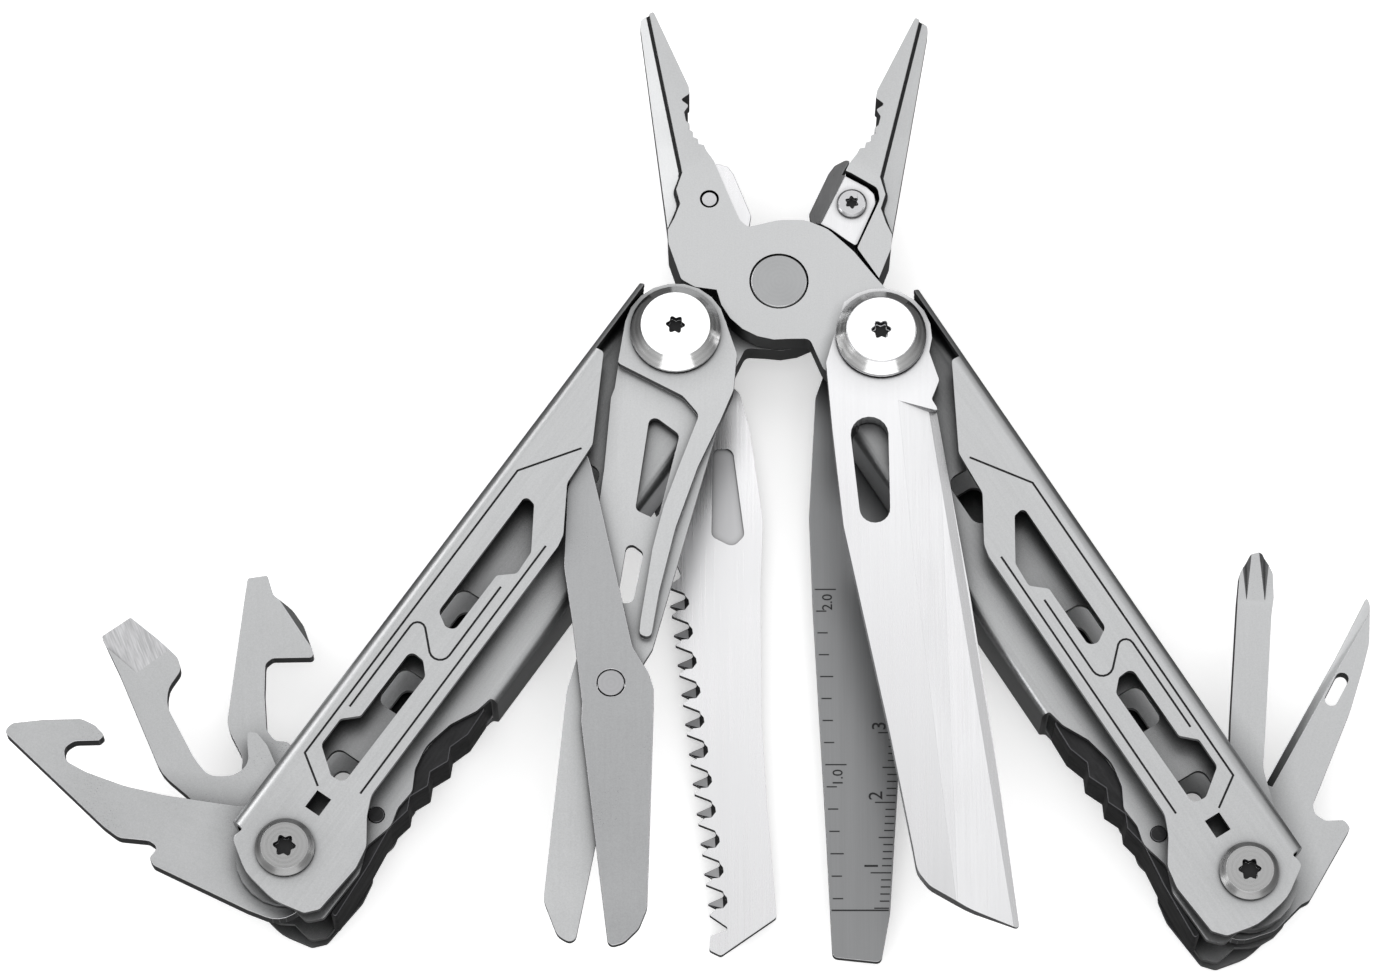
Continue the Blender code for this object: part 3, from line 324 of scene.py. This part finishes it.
# material slots of every dressed node; the main finish is slot 0
EDGE_SLOT, MARKS_AND_SHADE_SLOT, SHADED_WALLS_SLOT, EXTRA_SLOT = 1, 2, 3, 4


# ---- dressing the CAD nodes ------------------------------------------------------------
def paint(node, test, slot):
    """Gives faces the material of that slot where test(centre, normal) holds."""
    for polygon in NODES[node].data.polygons:
        if test(polygon.center, polygon.normal):
            polygon.material_index = slot


def soften(obj, width, angle):
    """Rounds the edges sharper than the angle; the rounded strips take the edge material."""
    for polygon in obj.data.polygons:
        polygon.use_smooth = True
    for name in ("custom_normal", "sharp_edge", "sharp_face"):
        attribute = obj.data.attributes.get(name)
        if attribute is not None:
            obj.data.attributes.remove(attribute)
    weld = obj.modifiers.new("one_skin", "WELD")
    weld.merge_threshold = 0.002 * MM
    flat = obj.modifiers.new("flat_faces", "DECIMATE")
    flat.decimate_type = "DISSOLVE"
    flat.angle_limit = math.radians(0.4)
    flat.delimit = {"MATERIAL"}
    bevel = obj.modifiers.new("soft_edges", "BEVEL")
    bevel.limit_method = "ANGLE"
    bevel.angle_limit = math.radians(angle)
    bevel.width = width * MM
    bevel.segments = 2
    bevel.use_clamp_overlap = True
    bevel.material = EDGE_SLOT
    shading = obj.modifiers.new("flat_shading", "WEIGHTED_NORMAL")
    shading.mode = "FACE_AREA"
    shading.weight = 60


def dress(node, main, width, angle=30.0, edge=EDGE, shaded_walls=False):
    """One finish, edges rounded by width (mm); with the flag set, upright walls get a dark
    painted shade.
    """
    obj = NODES[node]
    obj.data.materials.clear()
    for material in (main, edge, MARKS_AND_SHADE, SHADED_WALLS):
        obj.data.materials.append(material)
    if shaded_walls:
        paint(node, lambda c, n: abs(n.z) < 0.25, SHADED_WALLS_SLOT)
    soften(obj, width, angle)


def paint_extra(node, material, test):
    """Adds one more material to a dressed node, where the test holds."""
    NODES[node].data.materials.append(material)
    paint(node, test, EXTRA_SLOT)


ENGRAVING = (8.69, 8.89)


def engraved(c, n):
    """The floors and walls of the handles' engraved lines, at their levels in the plates."""
    flat_or_upright = abs(n.z) > 0.999 or abs(n.z) < 0.02
    return ENGRAVING[0] < abs(level(c)) < ENGRAVING[1] and flat_or_upright


def dress_handles():
    for side, tool_hinge in TOOL_HINGES.items():
        turn = heading(pivot(side + "_handle_hinge"), pivot(tool_hinge))
        # the painted shade reaches 9 mm, into the channel between the handle's plates
        steel = blasted_steel(side + "_handle_steel", HANDLE_GREY, 0.36, turn, 0.5, reach=9.0)
        dress(side + "_handle", steel, 0.08)
        # painted shade in the engraved lines
        paint(side + "_handle", engraved, MARKS_AND_SHADE_SLOT)
        black = black_oxide(side + "_lever_black", turn)
        dress(side + "_lock_lever", black, 0.18, edge=DARK_EDGE)
        dress(side + "_lock_pin", black, 0.12, edge=DARK_EDGE)


# each jaw's groove, in mm from the rivet across and along the shut jaw
JAW_OPENING = {"left": math.radians(22.5), "right": math.radians(-25.3)}
OUTWARD = {"left": -1.0, "right": 1.0}
JAW_GROOVE = ((0.9, 46.6), (1.3, 44.6), (6.4, 20.5), (8.2, 18.4), (8.5, 16.2), (10.0, 14.6),
              (12.6, 12.4))
GROOVE_REACH = 0.27
GROOVE_DEPTH = 0.1
JAW_HALF_THICKNESS = 4.0
NOSE_START = 21.0
NOSE_TAPER = 0.0722


def from_line(x, y, line):
    """Distance of a point from a polyline, in the line's own unit."""
    nearest = math.inf
    for (ax, ay), (bx, by) in zip(line, line[1:]):
        dx, dy = bx - ax, by - ay
        t = max(0.0, min(1.0, ((x - ax) * dx + (y - ay) * dy) / (dx * dx + dy * dy)))
        nearest = min(nearest, math.hypot(x - ax - t * dx, y - ay - t * dy))
    return nearest


def groove_test(side):
    """A test for the faces of the groove cut into the front and rear of one jaw."""
    cosine, sine = math.cos(JAW_OPENING[side]), math.sin(JAW_OPENING[side])

    def in_groove(c, n):
        x, y = (c.x - RIVET.x) / MM, (c.y - RIVET.y) / MM
        across = (x * cosine + y * sine) * OUTWARD[side]
        along = -x * sine + y * cosine
        surface = JAW_HALF_THICKNESS - NOSE_TAPER * max(0.0, along - NOSE_START)
        return (abs(level(c)) < surface - GROOVE_DEPTH
                and from_line(across, along, JAW_GROOVE) < GROOVE_REACH)

    return in_groove


def dress_jaws():
    for side in ("left", "right"):
        turn = heading(RIVET, centre(side + "_jaw"))
        steel = blasted_steel(side + "_jaw_steel", JAW_GREY, 0.38, turn, 0.12, reach=2.5)
        dress(side + "_jaw", steel, 0.09, shaded_walls=True)
        # painted shade in the groove on each face of the jaw
        paint(side + "_jaw", groove_test(side), MARKS_AND_SHADE_SLOT)
        insert = ground_steel(side + "_insert_steel", INSERT_WHITE, 0.28, turn, reach=1.0)
        dress(side + "_cutter_insert", insert, 0.08)
    dress("plier_rivet", turned_steel("rivet_steel", RIVET_GREY, 0.42, RIVET), 0.05)


def socket_test(at, radius, low, high, front=1.0):
    """A test for the faces of a screw's socket: near the axis, between two levels (mm)."""
    return lambda c, n: low < front * level(c) < high and (c - at).xy.length < radius * MM


def dress_pivot_screws(side, kind, at, colour, rough):
    steel = turned_steel(f"{side}_{kind}_turned", colour, rough, at)
    dress(f"{side}_{kind}_screw", steel, 0.12)
    dress(f"{side}_{kind}_nut", steel, 0.12)
    # painted shade in the screw's socket
    paint(f"{side}_{kind}_screw", socket_test(at, 1.75, 8.9, 10.19), MARKS_AND_SHADE_SLOT)


def dress_fasteners():
    for side, tool_hinge in TOOL_HINGES.items():
        plier_pivot = pivot(side + "_handle_hinge")
        dress_pivot_screws(side, "plier", plier_pivot, PLIER_SCREW_WHITE, 0.16)
        dress_pivot_screws(side, "tool", pivot(tool_hinge), TOOL_SCREW_GREY, 0.27)
        screw = side + "_insert_screw"
        at = centre(screw)
        dress(screw, turned_steel(side + "_small_turned", INSERT_SCREW_GREY, 0.26, at), 0.06)
        # painted shade in the screw's socket
        paint(screw, socket_test(at, 1.02, 3.1, 3.94, OUTWARD[side]), MARKS_AND_SHADE_SLOT)
    spacer = turned_steel("spacer_steel", SPACER_GREY, 0.3, centre("right_tool_spacer"))
    dress("right_tool_spacer", spacer, 0.08)


def dress_scissors():
    frame_steel = blasted_steel("scissor_steel", SCISSOR_GREY, 0.34, DOWN_THE_BLADES, 0.25)
    lever_steel = blasted_steel("scissor_lever_steel", SCISSOR_LEVER_GREY, 0.32,
                                DOWN_THE_BLADES, 0.25)
    dress("scissor_frame", frame_steel, 0.10, shaded_walls=True)
    dress("scissor_lever", lever_steel, 0.10, shaded_walls=True)
    rivet = turned_steel("scissor_rivet_steel", SCISSOR_RIVET_GREY, 0.45,
                         centre("scissor_rivet"))
    dress("scissor_rivet", rivet, 0.05)


SAW_TEETH_START = 31.0
SAW_HOLLOW_LEVEL = -7.2


def dress_saw():
    # the saw's painted shade reaches 6 mm, into gaps and under nearby pieces
    steel = ground_steel("saw_steel", SAW_WHITE, 0.26, DOWN_THE_BLADES, 0.03, 6.0, 0.3)
    dress("saw_blade", steel, 0.04, angle=8.0, shaded_walls=True)
    # the raker bevels of the teeth get painted shade
    first_tooth = pivot("saw_hinge").y - SAW_TEETH_START * MM
    paint("saw_blade", lambda c, n: c.y < first_tooth and 0.3 < n.z < 0.97, MARKS_AND_SHADE_SLOT)
    # painted shade on the hollow's floor: a darker colour, with a rougher finish
    hollow_shade = ground_steel("saw_hollow_shade_steel", SAW_HOLLOW_SHADE_GREY, 0.36, DOWN_THE_BLADES, 0.03,
                          1.0, 0.3)
    paint_extra("saw_blade", hollow_shade,
                lambda c, n: n.z > 0.9 and abs(level(c) - SAW_HOLLOW_LEVEL) < 0.05)


def dress_knife_and_file():
    knife = ground_steel("knife_steel", KNIFE_WHITE, 0.24, DOWN_THE_BLADES, 0.03, lines=0.35)
    dress("knife_blade", knife, 0.06, angle=2.0)
    # the file's painted shade reaches 7 mm, into gaps and under nearby pieces
    file_steel = ground_steel("file_steel", FILE_GREY, 0.36, DOWN_THE_BLADES, 0.2, 7.0)
    dress("file_ruler", file_steel, 0.06)


INNER_TOOLS = (("hook_opener", "hook_hinge"), ("flat_driver", "flat_driver_hinge"),
               ("can_opener", "can_opener_hinge"), ("phillips_driver", "phillips_hinge"),
               ("awl", "awl_hinge"))
DRIVER_TIP_BEND = math.radians(12.0)


def dress_inner_tools():
    for node, joint in INNER_TOOLS:
        turn = heading(pivot(joint), centre(node))
        steel = blasted_steel(node + "_steel", INNER_TOOL_GREY, 0.32, turn, 0.2, reach=5.0)
        dress(node, steel, 0.10, angle=4.0 if node == "flat_driver" else 12.0, shaded_walls=True)
    # the wide driver's ground faces show coarse strokes along its tip
    along = heading(pivot("flat_driver_hinge"), centre("flat_driver")) - DRIVER_TIP_BEND
    tip = filed_steel("driver_tip_steel", DRIVER_TIP_GREY, 0.34, along)
    paint_extra("flat_driver", tip, lambda c, n: 0.9 < abs(n.z) < 0.9995)


# ---- ruler marks and teeth on the file, in mm: u down the blade from its pivot, v to +x ----
FILE_HINGE = pivot("file_hinge")
FILE_FRONT = MID_Z - 5.45 * MM
FILE_REAR = MID_Z - 6.6 * MM
FILE_LEFT_EDGE = ((35.3, -9.4), (68.2, -7.8), (85.3, -7.1))
FILE_RIGHT_EDGE = ((40.0, 3.2), (62.0, 2.0), (79.0, 0.8))

RULER_ZERO = 83.4
TIP_LINE = 78.7
INCH = 25.4
CENTIMETRE = 10.0
EIGHTHS = range(2, 17)
MILLIMETRES = range(5, 33)
EIGHTH_LENGTHS = ((8, 2.9), (4, 1.8), (1, 1.4))
MILLIMETRE_LENGTHS = ((10, 2.8), (5, 2.0), (1, 1.3))
EIGHTH_INSET = 0.45
MILLIMETRE_INSET = 0.2
HALF_STROKE = 0.08
HALF_TIP_STROKE = 0.1
MARK_HEIGHT = 0.02 * MM

# each scale's numerals: size, how far below their mark, how far in from the edge
INCH_NUMERALS = (2.0, 3.1, 2.8)
CENTIMETRE_NUMERALS = (2.7, -0.3, -2.0)

TEETH = 58
TOOTH_PITCH = 0.7
TOOTH_START = 36.0
TOOTH_SLANT = 4.5
TOOTH_MARGIN = 0.8
TOOTH_PROFILE = ((0.24, 0.02), (-0.24, 0.02), (-0.16, -0.07))


def across_at(edge, u):
    """The v of an edge of the file at u."""
    start = 0 if u < edge[1][0] else 1
    (u0, v0), (u1, v1) = edge[start:start + 2]
    return v0 + (u - u0) * (v1 - v0) / (u1 - u0)


def mark_length(k, lengths):
    """The length for every so many marks; the longest comes first."""
    return next(length for every, length in lengths if k % every == 0)


def on_file(u, v, z):
    return (FILE_HINGE.x + v * MM, FILE_HINGE.y - u * MM, z)


def bar(verts, faces, corners):
    """Adds a flat four-cornered bar on the file's front; its corners (u, v) turn left."""
    first = len(verts)
    for z in (FILE_FRONT - MARK_HEIGHT, FILE_FRONT + MARK_HEIGHT):
        verts += [on_file(u, v, z) for u, v in corners]
    faces += [[first + k for k in (3, 2, 1, 0)], [first + k for k in (4, 5, 6, 7)]]
    faces += [[first + k, first + (k + 1) % 4, first + 4 + (k + 1) % 4, first + 4 + k]
              for k in range(4)]


def link(name, mesh):
    obj = bpy.data.objects.new(name, mesh)
    bpy.context.scene.collection.objects.link(obj)
    return obj


def mesh_from(name, verts, faces, material):
    mesh = bpy.data.meshes.new(name)
    mesh.from_pydata(verts, [], faces)
    mesh.update()
    mesh.materials.append(material)
    return mesh


def ruler_ticks():
    verts, faces = [], []

    def tick(u, v, length):
        bar(verts, faces, [(u + HALF_STROKE, v), (u + HALF_STROKE, v + length),
                           (u - HALF_STROKE, v + length), (u - HALF_STROKE, v)])

    for k in EIGHTHS:
        u = RULER_ZERO - k * INCH / 8.0
        tick(u, across_at(FILE_LEFT_EDGE, u) + EIGHTH_INSET, mark_length(k, EIGHTH_LENGTHS))
    for k in MILLIMETRES:
        u = RULER_ZERO - k
        length = mark_length(k, MILLIMETRE_LENGTHS)
        tick(u, across_at(FILE_RIGHT_EDGE, u) - MILLIMETRE_INSET - length, length)
    left = across_at(FILE_LEFT_EDGE, TIP_LINE) + MILLIMETRE_INSET
    right = across_at(FILE_RIGHT_EDGE, TIP_LINE) - MILLIMETRE_INSET
    low, high = TIP_LINE + HALF_TIP_STROKE, TIP_LINE - HALF_TIP_STROKE
    bar(verts, faces, [(low, left), (low, right), (high, right), (high, left)])
    ticks = link("ruler_ticks", mesh_from("ruler_ticks", verts, faces, MARKS_AND_SHADE))
    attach(ticks, "file_ruler")


def numeral_mesh(words, size, u, v):
    """Flat raised letters that read along the blade."""
    curve = bpy.data.curves.new("numeral", "FONT")
    curve.body = words
    curve.size = size * MM
    curve.extrude = MARK_HEIGHT
    curve.resolution_u = 3
    source = link("numeral", curve)
    source.location = on_file(u, v, FILE_FRONT)
    source.rotation_euler = (0.0, 0.0, math.pi / 2.0)
    bpy.context.view_layer.update()
    evaluated = source.evaluated_get(bpy.context.evaluated_depsgraph_get())
    mesh = bpy.data.meshes.new_from_object(evaluated)
    mesh.transform(source.matrix_world)
    bpy.data.objects.remove(source)
    mesh.materials.clear()
    mesh.materials.append(MARKS_AND_SHADE)
    return mesh


def ruler_numbers():
    labels = []
    for words, along, edge, (size, below, inward) in (
            ("1.0", INCH, FILE_LEFT_EDGE, INCH_NUMERALS),
            ("2.0", 2.0 * INCH, FILE_LEFT_EDGE, INCH_NUMERALS),
            ("1", CENTIMETRE, FILE_RIGHT_EDGE, CENTIMETRE_NUMERALS),
            ("2", 2.0 * CENTIMETRE, FILE_RIGHT_EDGE, CENTIMETRE_NUMERALS),
            ("3", 3.0 * CENTIMETRE, FILE_RIGHT_EDGE, CENTIMETRE_NUMERALS)):
        u = RULER_ZERO - along
        labels.append((words, size, u + below, across_at(edge, u) + inward))
    for number, label in enumerate(labels):
        obj = link(f"ruler_number_{number}", numeral_mesh(*label))
        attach(obj, "file_ruler")


def file_teeth():
    """Slanted ridges of the file cut on the rear face."""
    verts, faces = [], []
    for k in range(TEETH):
        u = TOOTH_START + TOOTH_PITCH * k
        left = across_at(FILE_LEFT_EDGE, u) + TOOTH_MARGIN
        right = across_at(FILE_RIGHT_EDGE, u + TOOTH_SLANT) - TOOTH_MARGIN
        first = len(verts)
        for along, across in ((u, left), (u + TOOTH_SLANT, right)):
            verts += [on_file(along - forward, across, FILE_REAR + lift * MM)
                      for forward, lift in TOOTH_PROFILE]
        faces += [[first + i for i in side] for side in (
            (0, 1, 2), (5, 4, 3), (0, 3, 4, 1), (1, 4, 5, 2), (2, 5, 3, 0))]
    cut = ground_steel("file_cut_steel", FILE_CUT_GREY, 0.34, 0.3, 0.1, 1.0)
    teeth = link("file_teeth", mesh_from("file_teeth", verts, faces, cut))
    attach(teeth, "file_ruler")


# ---- stage, light and camera -----------------------------------------------------------
FLOOR_REACH = 2.5
FLOOR_GAP = 0.2 * MM

# name, place, what it faces, width, height, watts
LIGHTS = (
    ("top_softbox", (0.09, 0.43, 0.95), (0.0, 0.05, 0.0), 0.72, 0.34, 0.60),
    ("front_key", (-0.05, -0.50, 1.05), (0.0, 0.0, 0.0), 0.90, 0.90, 2.6),
    ("left_back_panel", (-0.62, 0.42, 0.50), (0.0, 0.0, 0.0), 0.50, 0.30, 1.5),
    ("left_softbox", (-0.85, -0.20, 0.40), (0.0, 0.0, 0.0), 0.30, 0.20, 0.9),
    ("front_low_panel", (0.05, -1.0, 0.45), (0.0, 0.0, 0.0), 1.30, 0.40, 1.5),
    ("right_strip", (0.90, 0.20, 0.35), (0.0, 0.0, 0.0), 0.50, 0.12, 0.6))

# the camera and the point it faces, from the plier rivet
CAMERA_PLACE = Vector((-0.01269, -0.29849, 0.73954))
CAMERA_TARGET = Vector((-0.0127, -0.0293, 0.0))
CAMERA_LENS_MM = 148.66


def look_at(obj, target):
    obj.rotation_euler = (Vector(target) - obj.location).to_track_quat("-Z", "Y").to_euler()


def area_light(name, place, target, width, height, power):
    data = bpy.data.lights.new(name, "AREA")
    data.shape = "RECTANGLE"
    data.size = width
    data.size_y = height
    data.energy = power
    light = link(name, data)
    light.location = place
    look_at(light, target)


def floor_sheet():
    """A backlit sheet: white to its edges, with faint shadows."""
    t = Tree("floor_paint")
    t.shader.inputs["Base Color"].default_value = (0.99, 0.99, 0.99, 1.0)
    t.shader.inputs["Roughness"].default_value = 0.85
    t.shader.inputs["Specular IOR Level"].default_value = 0.2
    t.shader.inputs["Emission Color"].default_value = (1.0, 1.0, 1.0, 1.0)
    t.shader.inputs["Emission Strength"].default_value = 0.36
    corners = [(-FLOOR_REACH, -FLOOR_REACH, 0), (FLOOR_REACH, -FLOOR_REACH, 0),
               (FLOOR_REACH, FLOOR_REACH, 0), (-FLOOR_REACH, FLOOR_REACH, 0)]
    floor = link("floor", mesh_from("floor", corners, [(0, 1, 2, 3)], t.material))
    floor.location.z = cad_low.z - FLOOR_GAP
    floor.visible_glossy = False


def sky_light():
    """A plain studio dome: bright overhead, dimmer towards the horizon."""
    world = bpy.data.worlds.new("studio")
    bpy.context.scene.world = world
    world.use_nodes = True
    nodes, links = world.node_tree.nodes, world.node_tree.links
    coordinates = nodes.new("ShaderNodeTexCoord")
    split = nodes.new("ShaderNodeSeparateXYZ")
    links.new(coordinates.outputs["Generated"], split.inputs[0])
    height = nodes.new("ShaderNodeMapRange")
    height.inputs["From Min"].default_value = 0.0
    height.inputs["From Max"].default_value = 0.5
    height.inputs["To Min"].default_value = 0.10
    height.inputs["To Max"].default_value = 0.84
    links.new(split.outputs["Z"], height.inputs["Value"])
    background = nodes["Background"]
    background.inputs["Color"].default_value = (1.0, 1.0, 1.0, 1.0)
    links.new(height.outputs["Result"], background.inputs["Strength"])


def camera():
    data = bpy.data.cameras.new("camera")
    data.sensor_width = 36.0
    data.lens = CAMERA_LENS_MM
    data.clip_start = 0.01
    cam = link("camera", data)
    cam.location = RIVET + CAMERA_PLACE
    look_at(cam, RIVET + CAMERA_TARGET)
    bpy.context.scene.camera = cam


dress_handles()
dress_jaws()
dress_fasteners()
dress_scissors()
dress_knife_and_file()
dress_saw()
dress_inner_tools()
ruler_ticks()
ruler_numbers()
file_teeth()
floor_sheet()
sky_light()
for settings in LIGHTS:
    area_light(*settings)
camera()
bpy.context.scene.view_settings.view_transform = "Standard"
